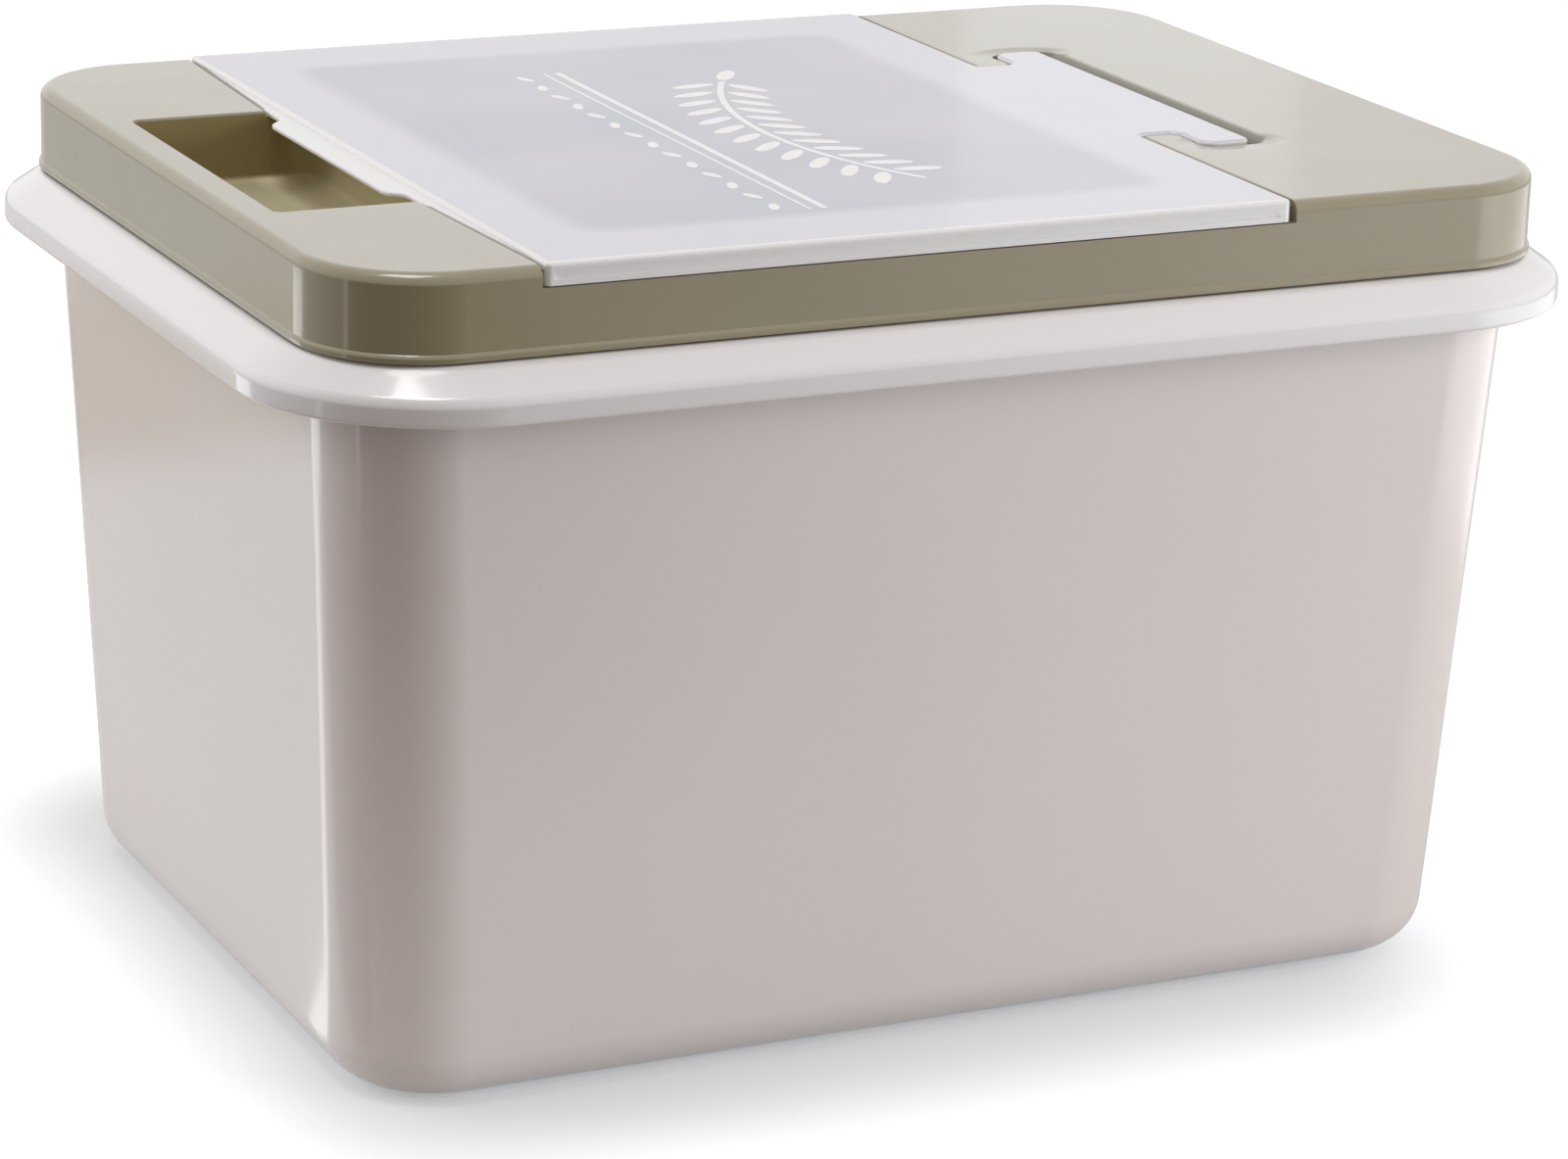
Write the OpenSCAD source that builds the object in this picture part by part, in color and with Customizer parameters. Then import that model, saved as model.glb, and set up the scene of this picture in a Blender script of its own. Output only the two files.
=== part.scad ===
// Rice bin with a flip lid: a moulded tub, a push-on lid and a clear flap on a moulded hinge.
// Units are millimetres. X runs along the bin, Y across it and Z up. The origin is on the
// table, under the middle of the tub. The flap opens from the -X end and hinges at the +X end.

/* [Tub] */
// Length of the tub across its flange
tub_l = 360; // [330:5:400]
// Width of the tub across its flange
tub_w = 271; // [255:1:300]
// Height of the tub's body, up to the flange's lower edge
body_h = 180; // [120:5:260]
// How far the body's wall stands in from the flange's edge
body_inset = 16.2; // [14:0.2:20]
// How much narrower each side of the body is at its foot, for draft
body_draft = 8.3; // [3:0.1:12]
// Radius of the body's upright corners
body_r = 28; // [20:1:36]
// Radius of the edge between the body and its base
base_r = 13; // [6:1:18]
// Thickness of the body's wall
wall_t = 2.4; // [1.8:0.1:3]
// Thickness of the tub's floor
floor_t = 2.4; // [1.8:0.1:4]
// Height of the foot band that the tub stands on
foot_h = 1.2; // [0.6:0.1:2]
// Width of the foot band
foot_w = 12; // [6:1:20]
// Corner radius of the hollow inside the foot band
foot_r = 10; // [4:1:16]

/* [Tub rim] */
// Height of the flange's upright edge
flange_edge_h = 6.3; // [4:0.1:9]
// Rise of the flange's slope, from its edge to its shelf
flange_rise = 6.3; // [4:0.1:9]
// Width of the flange's slope
flange_slope_w = 9.3; // [6:0.1:10]
// Corner radius of the flange
flange_r = 50; // [44:1:54]
// Thickness of the flange
flange_t = 2.2; // [1.6:0.1:2.6]
// How far the neck stands in from the flange's edge
neck_inset = 14.2; // [13.6:0.1:15]
// Height of the neck above the flange's shelf
neck_h = 14.4; // [12:0.2:20]
// Thickness of the neck
neck_t = 2.2; // [1.6:0.1:2.4]
// Corner radius of the neck
neck_r = 28.7; // [24:0.1:32]

/* [Lid] */
// Thickness of the lid's walls
lid_t = 2.2; // [1.8:0.1:2.6]
// Gap between the lid's skirt and the tub's neck
lid_gap = 0.4; // [0.3:0.05:0.8]
// Gap under the lid's skirt
skirt_gap = 0.4; // [0.3:0.1:2]
// Height of the lid's top above the tub's rim
lid_rise = 7.5; // [7.2:0.1:9]
// Radius of the edge round the lid's top
lid_edge_r = 3; // [1.5:0.1:4]
// Height of the lip along the skirt's lower edge
lip_h = 1.6; // [1:0.1:3]
// How far the lip stands out from the skirt
lip_out = 0.6; // [0.2:0.1:1.2]
// Depth of the rib that goes inside the tub's neck
plug_h = 8; // [4:0.5:10]

/* [Finger well] */
// Distance from the lid's end to the finger well
well_from_end = 10.4; // [9:0.2:14]
// Length of the finger well
well_l = 52; // [48:1:55]
// Width of the finger well
well_w = 107; // [80:1:120]
// Depth of the finger well
well_depth = 18.3; // [12:0.1:22]
// Radius between the well's floor and its end walls
well_scoop_r = 3; // [1:0.5:8]
// Radius of the well's upright corners
well_corner_r = 2; // [1:0.5:4]

/* [Flap] */
// Distance from the lid's end to the flap's free edge
flap_from_end = 50.9; // [48:0.1:54]
// Length of the flap's panel
flap_l = 201; // [190:1:202]
// Thickness of the flap
flap_t = 2; // [1.6:0.1:2.4]
// How far the flap's top stands above the lid's top
flap_proud = 0.6; // [0:0.1:1]
// Height of the flap's turned-down edges
flap_edge_h = 5.6; // [4:0.1:5.8]
// Thickness of the flap's turned-down edges
flap_edge_t = 1.9; // [1.4:0.1:2.2]
// Radius along the top of the turned-down edges
flap_edge_r = 1.4; // [0.8:0.1:1.4]
// How far the free edge bows out towards its middle
flap_bow = 3.2; // [1:0.1:4]
// How far the finger tab reaches past the free edge
tab_reach = 4.4; // [2:0.1:8]
// Width of the finger tab
tab_w = 80; // [50:1:90]
// Gap round the flap
flap_gap = 0.8; // [0.6:0.1:1.2]
// Gap between the flap's panel and the lid, on the hinge side
flap_swing_gap = 1.3; // [1.2:0.1:2]
// Fit between the flap's turned-down edges and the lid
edge_gap = 0.3; // [0.2:0.05:0.5]

/* [Scoop opening] */
// Width of the lid's ledge at the flap's two ends
ledge_x = 21.5; // [20:0.5:30]
// Width of the lid's ledge along the flap's two sides
ledge_y = 24.5; // [18:0.5:34]
// Corner radius of the scoop opening
opening_r = 12; // [8:0.5:20]
// Depth of the rib that the flap lowers into the opening
flap_rib_h = 8; // [5:0.5:10]
// Thickness of the flap's rib
flap_rib_t = 1.8; // [1.2:0.1:2.4]
// Gap between the flap's rib and the opening
rib_gap = 0.9; // [0.6:0.1:1.5]
// Width of the rebate that the seal presses on
rebate_w = 4.5; // [3:0.1:6]
// Height of the seal
seal_h = 1.8; // [1.2:0.1:2]
// Gap round the outside of the seal
seal_gap = 0.6; // [0.5:0.1:1]

/* [Hinge] */
// Distance from the flap's panel to the hinge's axis
hinge_back = 19.5; // [18:0.5:24]
// Depth of the hinge's axis below the flap's top
hinge_drop = 5.2; // [5:0.1:5.6]
// Thickness of the socket's wall below the lid's plate
cheek_t = 3.2; // [2:0.1:4]
// Radius of the hinge's barrel
barrel_r = 3.6; // [3.4:0.1:3.8]
// Radius of the trunnions at the barrel's ends
trunnion_r = 2; // [1.5:0.1:2.4]
// Length of each trunnion in its socket
trunnion_l = 4; // [3:0.1:5]
// End clearance of each trunnion in its socket
trunnion_gap = 0.3; // [0.2:0.05:0.6]
// Running clearance round the trunnions
hinge_play = 0.08; // [0.05:0.01:0.1]
// Length of the hinge's strip
strip_w = 119; // [100:1:130]
// Corner radius of the strip
strip_r = 3; // [1:0.5:4]
// How far the barrel stops short of each end of the strip
barrel_short = 1; // [0.5:0.1:2]
// How far the strip reaches past the hinge's axis
strip_reach = 6.5; // [5:0.1:6.8]
// How far the strip starts in front of the hinge's axis
strip_front = 7.5; // [6:0.1:9]
// Width of the neck between the flap's panel and the strip
flap_neck_w = 89; // [70:1:92]
// Radius of the flare where the neck meets the strip
flare_r = 4; // [2:0.5:5]
// Width of the groove behind the strip
groove_w = 2.5; // [2.2:0.1:4]
// Gap at each end of the strip
strip_end_gap = 1; // [0.6:0.1:2]
// Depth of the hinge's pocket below its axis
pocket_drop = 9; // [8.8:0.1:11]

/* [Measuring cup] */
// Radius of the cup's mouth
cup_r = 31; // [26:1:36]
// Radius of the cup's base
cup_base_r = 26; // [20:1:30]
// Height of the cup
cup_h = 58; // [45:1:70]
// Thickness of the cup's wall
cup_t = 1.6; // [1.2:0.1:2.4]
// How far the cup's handle reaches from its side
handle_reach = 22; // [18:1:28]
// Height of the cup's handle
handle_h = 40; // [34:1:46]
// Width of the handle's bar, all round its loop
handle_t = 5; // [4:0.5:7]
// Corner radius of the handle's loop
handle_r = 9; // [6:0.5:12]
// Width of the handle across the cup
handle_w = 9; // [6:0.5:14]
// Distance from the tub's hinge end to the cup's middle
cup_from_end = 84; // [80:1:120]

/* [Hidden] */

// Overlap of solids that are one piece, and overrun of cuts
bite = 0.5;
corner_steps = 8;
round_steps = 6;

// Heights above the table
shelf_z = body_h + flange_edge_h + flange_rise;
rim_z = shelf_z + neck_h;
lid_z = rim_z + lid_rise;
skirt_z = shelf_z + skirt_gap;
flap_z = lid_z + flap_proud;
ledge_z = flap_z - flap_t;
notch_z = flap_z - flap_edge_h - edge_gap;
plate_z = lid_z - lid_t;
under_ledge_z = ledge_z - lid_t;
rebate_z = ledge_z - seal_h;
well_z = lid_z - well_depth;
floor_z = foot_h + floor_t;
hinge_z = flap_z - hinge_drop;

// Half lengths and half widths
flange = [tub_l / 2, tub_w / 2];
body = flange - [body_inset, body_inset];
base = body - [body_draft, body_draft];
neck = flange - [neck_inset, neck_inset];
neck_bore = neck - [neck_t, neck_t];
skirt_bore = neck + [lid_gap, lid_gap];
skirt = skirt_bore + [lid_t, lid_t];
plug = neck_bore - [lid_gap, lid_gap];
skirt_bore_r = neck_r + lid_gap;
skirt_r = skirt_bore_r + lid_t;
plug_r = neck_r - neck_t - lid_gap;

// The finger well, along X
well_x = -skirt.x + well_from_end;
well_end_x = well_x + well_l;
well_mid = (well_x + well_end_x) / 2;
well_half = [well_l / 2, well_w / 2];

// The flap: its free edge, its hinge side and its turned-down edges
flap_x = -skirt.x + flap_from_end;
flap_end_x = flap_x + flap_l;
flap_y = skirt.y;
flap_wall_y = flap_y - flap_edge_t;
notch_y = flap_wall_y - edge_gap;
hinge_x = flap_end_x + hinge_back;

// Where the cup stands in the tub
cup_x = flange.x - cup_from_end;

// The scoop opening
opening_l = flap_l - 2 * ledge_x;
opening_w = 2 * (flap_y - ledge_y);
opening_x = flap_x + flap_l / 2;

// A rounded rectangle about the origin, from its half sizes
module plate(half, r) {
    square([2 * half.x, 2 * (half.y - r)], center = true);
    square([2 * (half.x - r), 2 * half.y], center = true);
    for (sx = [-1, 1], sy = [-1, 1])
        translate([sx * (half.x - r), sy * (half.y - r)])
            circle(r, $fn = 64);
}

// The same shape as a ring of points at one height, for loft()
function ring(half, r, z) = [
    for (q = [0:3], i = [0:corner_steps])
        let (
            sx = (q == 0 || q == 3) ? 1 : -1,
            sy = q < 2 ? 1 : -1,
            a = 90 * (q + i / corner_steps)
        )
        [sx * (half.x - r) + r * cos(a), sy * (half.y - r) + r * sin(a), z]
];

// A closed solid through a list of rings, from the lowest to the highest
module loft(rings) {
    n = len(rings[0]);
    last = n * (len(rings) - 1);
    sides = [
        for (k = [0:len(rings) - 2], i = [0:n - 1])
            let (a = k * n + i, b = k * n + (i + 1) % n)
            each [[a, a + n, b], [b, a + n, b + n]]
    ];
    base_face = [for (i = [0:n - 1]) i];
    top_face = [for (i = [n - 1:-1:0]) last + i];
    polyhedron(points = [for (g = rings) each g], faces = concat(sides, [base_face, top_face]));
}

// Rings of the tub's drafted wall, set in by a thickness, with its rounded foot
function body_at(z, inset) =
    base + (body - base) * (z / body_h) - [inset, inset];
function foot_rings(inset, z0, r) = [
    for (i = [0:round_steps])
        let (
            a = 90 * i / round_steps,
            z = z0 + r * (1 - cos(a)),
            in = r * (1 - sin(a))
        )
        ring(body_at(z, inset) - [in, in], body_r - inset - in, z)
];

module rounded_block(half, r, z0, z1) {
    translate([0, 0, z0])
        linear_extrude(z1 - z0)
            plate(half, r);
}

module tube_wall(half, r, t, z0, z1) {
    difference() {
        rounded_block(half, r, z0, z1);
        rounded_block(half - [t, t], r - t, z0 - bite, z1 + bite);
    }
}

module tub() {
    slope_top = flange - [flange_slope_w, flange_slope_w];
    slope_r = flange_r - flange_slope_w;
    inner_edge = flange - [flange_t, flange_t];
    inner_slope = slope_top - [flange_t / 2, flange_t / 2];
    foot_half = base - [base_r + foot_w, base_r + foot_w];
    color([0.84, 0.81, 0.80])
    difference() {
        union() {
            // Flange: a hollow roof with an upright edge
            difference() {
                loft([
                    ring(flange, flange_r, body_h),
                    ring(flange, flange_r, body_h + flange_edge_h),
                    ring(slope_top, slope_r, shelf_z)
                ]);
                loft([
                    ring(inner_edge, flange_r - flange_t, body_h - bite),
                    ring(inner_edge, flange_r - flange_t, body_h + flange_edge_h - flange_t / 2),
                    ring(inner_slope, slope_r - flange_t / 2, shelf_z - flange_t)
                ]);
            }
            // Drafted body, carried up to the shelf
            loft(concat(
                foot_rings(0, 0, base_r),
                [ring(body_at(shelf_z, 0), body_r, shelf_z - flange_t / 2)]
            ));
            rounded_block(neck, neck_r, shelf_z - flange_t, rim_z);
        }
        loft(concat(
            foot_rings(wall_t, floor_z, base_r - wall_t),
            [
                ring(body_at(shelf_z - flange_t, wall_t), body_r - wall_t, shelf_z - flange_t),
                ring(neck_bore, neck_r - neck_t, shelf_z),
                ring(neck_bore, neck_r - neck_t, rim_z + bite)
            ]
        ));
        // The middle of the base stands clear of the table
        rounded_block(foot_half, foot_r, -bite, foot_h);
    }
}

// Plan of the flap, or of the recess it lies in when a gap is given
module panel_plan(gap, swing_gap) {
    y_side = flap_y + bite * (gap > 0 ? 1 : 0);
    y_well = well_w / 2;
    bow_x = flap_x - flap_bow - gap;
    tab_x = bow_x - tab_reach;
    tab_y = tab_w / 2 + gap;
    polygon([
        [flap_x - gap, -y_side],
        [flap_end_x + swing_gap, -y_side],
        [flap_end_x + swing_gap, y_side],
        [flap_x - gap, y_side],
        [bow_x, y_well],
        [bow_x, tab_y + tab_reach],
        [tab_x, tab_y],
        [tab_x, -tab_y],
        [bow_x, -tab_y - tab_reach],
        [bow_x, -y_well]
    ]);
}

module neck_plan(gap) {
    x0 = flap_end_x - bite;
    x1 = hinge_x - strip_front - gap;
    y1 = flap_neck_w / 2 + gap;
    translate([x0, -y1])
        square([x1 - x0 + bite, 2 * y1]);
    // Hollow flares at both sides
    for (s = [-1, 1])
        difference() {
            translate([x1 - flare_r, s > 0 ? y1 - bite : -y1 - flare_r])
                square([flare_r + bite, flare_r + bite]);
            translate([x1 - flare_r, s * (y1 + flare_r)])
                circle(flare_r, $fn = 48);
        }
}

module strip_plan(front_gap, back_gap, end_gap) {
    r = strip_r + end_gap;
    x0 = hinge_x - strip_front - front_gap;
    x1 = hinge_x + strip_reach + back_gap;
    translate([(x0 + x1) / 2, 0])
        plate([(x1 - x0) / 2, strip_w / 2 + end_gap], r);
}

// The scoop opening, grown or shrunk all round
module opening_block(grow, z0, z1) {
    translate([opening_x, 0])
        rounded_block([opening_l / 2 + grow, opening_w / 2 + grow], opening_r + grow, z0, z1);
}

// A box given by its lowest and highest corners
module span(low, high) {
    translate(low)
        cube(high - low);
}

module lid_shell() {
    lip = skirt + [lip_out, lip_out];
    lip_top = skirt_z + lip_h;
    difference() {
        loft(concat(
            [
                ring(lip, skirt_r + lip_out, skirt_z),
                ring(lip, skirt_r + lip_out, lip_top),
                ring(skirt, skirt_r, lip_top + lip_out)
            ],
            [
                for (i = [0:round_steps])
                    let (a = 90 * i / round_steps, in = lid_edge_r * (1 - cos(a)))
                    ring(skirt - [in, in], skirt_r - in, lid_z - lid_edge_r * (1 - sin(a)))
            ]
        ));
        // Inside of the skirt, up to the ledge that sits on the tub's rim
        rounded_block(skirt_bore, skirt_bore_r, skirt_z - bite, rim_z);
        // Underside of the plate below the flap
        rounded_block([skirt_bore.x, notch_y - lid_t], plug_r, rim_z - bite, under_ledge_z);
        // Underside of the plate at the lid's two ends
        intersection() {
            rounded_block([skirt_bore.x, notch_y - lid_t], plug_r, rim_z - bite, plate_z);
            union() {
                span([-tub_l, -tub_w, 0], [flap_x - flap_bow - tab_reach - lid_t, tub_w, lid_z]);
                span([flap_end_x + flap_swing_gap + lid_t, -tub_w, 0], [tub_l, tub_w, lid_z]);
            }
        }
    }
}

// Hollow of the finger well, with a round foot at its two ends
module well_hollow() {
    translate([well_mid, 0])
        intersection() {
            rounded_block(well_half, well_corner_r, well_z, flap_z);
            union() {
                foot = well_half.x - well_scoop_r;
                span([-well_l, -well_w, well_z + well_scoop_r], [well_l, well_w, flap_z + bite]);
                span([-foot, -well_w, well_z - bite], [foot, well_w, flap_z]);
                for (s = [-1, 1])
                    translate([s * foot, 0, well_z + well_scoop_r])
                        rotate([90, 0, 0])
                            cylinder(h = 2 * well_w, r = well_scoop_r, center = true, $fn = 48);
            }
        }
}

module lid() {
    pocket_z = hinge_z - pocket_drop;
    pocket_x = hinge_x - strip_front - flap_gap;
    pocket_end_x = hinge_x + strip_reach + groove_w;
    pocket_y = strip_w / 2 + strip_end_gap;
    socket_y = pocket_y + trunnion_l;
    cheek = trunnion_r + cheek_t;
    fuse_z = under_ledge_z + lid_t / 2;
    color([0.68, 0.65, 0.56])
    difference() {
        union() {
            lid_shell();
            // Rib inside the tub's neck
            tube_wall(plug, plug_r, lid_t, rim_z - plug_h, fuse_z);
            // Shell round the finger well
            translate([well_mid, 0])
                rounded_block(well_half + [lid_t, lid_t], well_corner_r + lid_t, well_z - lid_t, fuse_z);
            // Shell round the hinge's pocket, with a cheek at each end for a socket
            span(
                [pocket_x - lid_t, -pocket_y - lid_t, pocket_z - lid_t],
                [pocket_end_x + lid_t, pocket_y + lid_t, fuse_z]
            );
            span(
                [hinge_x - cheek, -socket_y - lid_t, hinge_z - cheek],
                [hinge_x + cheek, socket_y + lid_t, plate_z + bite]
            );
            // Collar round the scoop opening
            opening_block(rebate_w + lid_t, rebate_z - lid_t, fuse_z);
        }
        // Recess for the flap, and the steps for its turned-down edges
        translate([0, 0, ledge_z])
            linear_extrude(flap_t + bite) {
                panel_plan(flap_gap, flap_swing_gap);
                neck_plan(flap_gap);
            }
        for (s = [-1, 1])
            span(
                [flap_x - flap_gap, s > 0 ? notch_y : -notch_y - tub_w, notch_z],
                [flap_end_x + flap_swing_gap, s > 0 ? notch_y + tub_w : -notch_y, flap_z + bite]
            );
        // Scoop opening and the seal's rebate
        opening_block(0, rim_z - plug_h, flap_z);
        opening_block(rebate_w, rebate_z, flap_z);
        well_hollow();
        // Hinge pocket and sockets
        translate([0, 0, pocket_z])
            linear_extrude(flap_z - pocket_z)
                strip_plan(flap_gap, groove_w, strip_end_gap);
        translate([hinge_x, 0, hinge_z])
            rotate([90, 0, 0])
                cylinder(h = 2 * socket_y, r = trunnion_r + hinge_play, center = true, $fn = 48);
    }
}

module flap() {
    barrel_y = strip_w / 2 - barrel_short;
    trunnion_y = strip_w / 2 + strip_end_gap + trunnion_l - trunnion_gap;
    color([0.88, 0.88, 0.92])
    union() {
        translate([0, 0, ledge_z])
            linear_extrude(flap_t)
                difference() {
                    union() {
                        panel_plan(0, 0);
                        neck_plan(0);
                        strip_plan(0, 0, 0);
                    }
                    // The sides are rounded by the turned-down edges
                    for (s = [-1, 1])
                        translate([flap_x - bite, s > 0 ? flap_wall_y : -flap_wall_y - tub_w])
                            square([flap_l + 2 * bite, tub_w]);
                }
        // Turned-down edges with a rounded top
        for (s = [0, 1])
            mirror([0, s, 0])
                translate([flap_x, 0, 0])
                    rotate([90, 0, 90])
                        linear_extrude(flap_l)
                            edge_section();
        // Rib that lowers into the scoop opening
        difference() {
            opening_block(-rib_gap, ledge_z - flap_rib_h, ledge_z + bite);
            opening_block(-rib_gap - flap_rib_t, ledge_z - flap_rib_h - bite, ledge_z);
        }
        // Barrel under the strip, with a trunnion at each end
        translate([hinge_x, 0, hinge_z])
            rotate([90, 0, 0]) {
                cylinder(h = 2 * barrel_y, r = barrel_r, center = true, $fn = 48);
                cylinder(h = 2 * trunnion_y, r = trunnion_r, center = true, $fn = 48);
            }
        span([hinge_x - barrel_r, -barrel_y, hinge_z], [hinge_x + barrel_r, barrel_y, ledge_z + bite]);
    }
}

// Section of a turned-down edge, in Y and Z
module edge_section() {
    r = flap_edge_r;
    bottom = flap_z - flap_edge_h;
    translate([flap_wall_y - bite, ledge_z])
        square([flap_edge_t + bite - r, flap_t]);
    translate([flap_wall_y, bottom])
        square([flap_edge_t, flap_edge_h - r]);
    // Only the outer quarter of the circle
    translate([flap_y - r, flap_z - r])
        intersection() {
            circle(r, $fn = 32);
            square(r);
        }
}

module flap_seal() {
    color([0.94, 0.94, 0.94])
    difference() {
        opening_block(rebate_w - seal_gap, rebate_z, ledge_z);
        opening_block(-rib_gap, rebate_z - bite, ledge_z + bite);
    }
}

module measuring_cup() {
    loop_z = (cup_h - handle_h) / 2;
    wall_rise = (cup_r - cup_base_r) * cup_t / cup_h;
    color([0.90, 0.91, 0.93])
    translate([cup_x, 0, floor_z])
        difference() {
            union() {
                cylinder(h = cup_h, r1 = cup_base_r, r2 = cup_r, $fn = 64);
                // Handle: an upright loop on the side
                translate([-cup_r - handle_reach, handle_w / 2, loop_z])
                    rotate([90, 0, 0])
                        linear_extrude(handle_w)
                            difference() {
                                loop_plan(0);
                                loop_plan(handle_t);
                            }
            }
            translate([0, 0, cup_t])
                cylinder(h = cup_h, r1 = cup_base_r - cup_t, r2 = cup_r - cup_t + wall_rise, $fn = 64);
        }
}

// Side view of the handle's loop, long enough to end inside the cup
module loop_plan(inset) {
    half = [(handle_reach + cup_r - cup_base_r + handle_r) / 2, handle_h / 2];
    translate(half)
        plate(half - [inset, inset], handle_r - inset);
}

tub();
lid();
flap();
flap_seal();
measuring_cup();
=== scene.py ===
"""Looks of the rice bin: milky tub, taupe lid, frosted flap on a hinge, its seal and a measuring cup."""
import math

import bmesh
import bpy
from mathutils import Matrix, Vector


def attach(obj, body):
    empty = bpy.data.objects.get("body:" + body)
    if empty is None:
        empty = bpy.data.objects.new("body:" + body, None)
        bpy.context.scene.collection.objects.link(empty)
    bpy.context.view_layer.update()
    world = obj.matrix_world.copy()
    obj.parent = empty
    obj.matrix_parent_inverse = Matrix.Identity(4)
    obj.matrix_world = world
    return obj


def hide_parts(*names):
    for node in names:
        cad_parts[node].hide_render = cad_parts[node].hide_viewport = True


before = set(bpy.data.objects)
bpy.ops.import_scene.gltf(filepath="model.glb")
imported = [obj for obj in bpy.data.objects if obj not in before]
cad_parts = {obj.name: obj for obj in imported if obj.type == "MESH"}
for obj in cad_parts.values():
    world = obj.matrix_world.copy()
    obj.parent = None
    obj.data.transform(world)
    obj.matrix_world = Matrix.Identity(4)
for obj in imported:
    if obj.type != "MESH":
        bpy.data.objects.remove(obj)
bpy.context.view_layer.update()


# Tub: one deep injection moulding in milky polypropylene. A hollow flange runs round it for carrying,
# and a thin neck stands up from the flange's shelf to take the lid. It stands on a low foot band.
TUB_HALF = (180, 135.5)
CORNER_STEPS = 18
TUB_RINGS = [
    # inset from the flange's outline, corner radius, height, radius of the rounded edge there
    (49.5, 10, 1.2, 0),
    (49.5, 10, 0, 0.5),
    (24.5, 28, 0, 13),
    (15.72, 28, 190.4, 1.2),
    (10.4, 39.6, 190.4, 0.8),
    (2.2, 47.8, 185.2, 1),
    (2.2, 47.8, 180, 0.7),
    (0, 50, 180, 0.9),
    (0, 50, 186.3, 1.8),
    (9.3, 40.7, 192.6, 1.4),
    (14.2, 28.7, 192.6, 0.6),
    (14.2, 28.7, 207, 0.8),
    (16.4, 26.5, 207, 0.8),
    (16.4, 26.5, 192.6, 0.8),
    (18.12, 25.6, 190.4, 0.8),
    (26.9, 25.6, 3.6, 10.6),
]


def rounded_loop(bm, half_x, half_y, radius, z, centre=(0, 0)):
    """A closed loop of edges round a rectangle with rounded corners, in millimetres."""
    corners = bmesh.ops.create_grid(bm, x_segments=1, y_segments=1, size=1)["verts"]
    bmesh.ops.scale(bm, vec=(half_x, half_y, 1), verts=corners)
    bmesh.ops.translate(bm, vec=(centre[0], centre[1], z), verts=corners)
    rounded = bmesh.ops.bevel(bm, geom=corners, affect="VERTICES", offset=radius, offset_type="OFFSET",
                              segments=CORNER_STEPS, profile=0.5, material=-1)
    face = rounded["verts"][0].link_faces[0]
    loop = list(face.edges)
    bmesh.ops.delete(bm, geom=[face], context="FACES_ONLY")
    return loop


def bridge(bm, loops):
    for low, high in zip(loops, loops[1:]):
        bmesh.ops.bridge_loops(bm, edges=low + high)


def soften(bm, edges, radius, steps=4):
    bmesh.ops.bevel(bm, geom=edges, affect="EDGES", offset=radius, offset_type="OFFSET", segments=steps,
                    profile=0.5, material=-1, clamp_overlap=False)


def finish_piece(bm, name, body, materials, replaced=None, recalc=True):
    """Puts a mesh made in millimetres into the frame, in metres, with even shading."""
    if recalc:
        bmesh.ops.recalc_face_normals(bm, faces=bm.faces)
    bmesh.ops.scale(bm, vec=(0.001, 0.001, 0.001), verts=bm.verts)
    for face in bm.faces:
        face.smooth = True
    mesh = bpy.data.meshes.new(name)
    bm.to_mesh(mesh)
    bm.free()
    mesh.set_sharp_from_angle(angle=math.radians(40))
    for material in materials:
        mesh.materials.append(material)
    piece = bpy.data.objects.new(name, mesh)
    bpy.context.scene.collection.objects.link(piece)
    even = piece.modifiers.new("even shading", "WEIGHTED_NORMAL")
    even.keep_sharp = True
    even.weight = 100
    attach(piece, body)
    if replaced:
        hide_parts(replaced)


def place_node(tree, kind, sockets=None, **settings):
    """Adds a node. Each socket is given a value, or another node's output to link."""
    node = tree.nodes.new(kind)
    for name, value in settings.items():
        setattr(node, name, value)
    for name, value in (sockets or {}).items():
        if isinstance(value, bpy.types.NodeSocket):
            tree.links.new(value, node.inputs[name])
        else:
            node.inputs[name].default_value = value
    return node


def calculate(tree, operation, *values):
    return place_node(tree, "ShaderNodeMath", dict(enumerate(values)), operation=operation).outputs[0]


def object_place(tree):
    return place_node(tree, "ShaderNodeTexCoord").outputs["Object"]


def split(tree, vector):
    return place_node(tree, "ShaderNodeSeparateXYZ", {0: vector}).outputs


def vector_math(tree, operation, *vectors, output="Vector"):
    node = place_node(tree, "ShaderNodeVectorMath", dict(enumerate(vectors)), operation=operation)
    return node.outputs[output]


def step_mask(tree, value, start, end):
    """0 below start, 1 above end, and soft between them."""
    ramp = place_node(tree, "ShaderNodeMapRange", {"Value": value, "From Min": start, "From Max": end},
                      interpolation_type="SMOOTHSTEP")
    return ramp.outputs["Result"]


def blend(tree, factor, first, second):
    mix = tree.nodes.new("ShaderNodeMix")
    mix.data_type = "RGBA"
    for socket, value in ((mix.inputs[0], factor), (mix.inputs[6], first), (mix.inputs[7], second)):
        if isinstance(value, bpy.types.NodeSocket):
            tree.links.new(value, socket)
        else:
            socket.default_value = value if isinstance(value, float) else (*value, 1)
    return mix.outputs[2]


def effect(name, inputs, outputs):
    """An empty node group with named sockets. Colours have a tuple as their default, and values a number."""
    group = bpy.data.node_groups.new(name, "ShaderNodeTree")
    for socket_name, value in inputs.items():
        is_colour = isinstance(value, tuple)
        socket = group.interface.new_socket(socket_name, in_out="INPUT",
                                            socket_type="NodeSocketColor" if is_colour else "NodeSocketFloat")
        socket.default_value = (*value, 1) if is_colour else value
    for socket_name, kind in outputs.items():
        group.interface.new_socket(socket_name, in_out="OUTPUT", socket_type=kind)
    return group, group.nodes.new("NodeGroupInput").outputs, group.nodes.new("NodeGroupOutput").inputs


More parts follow.
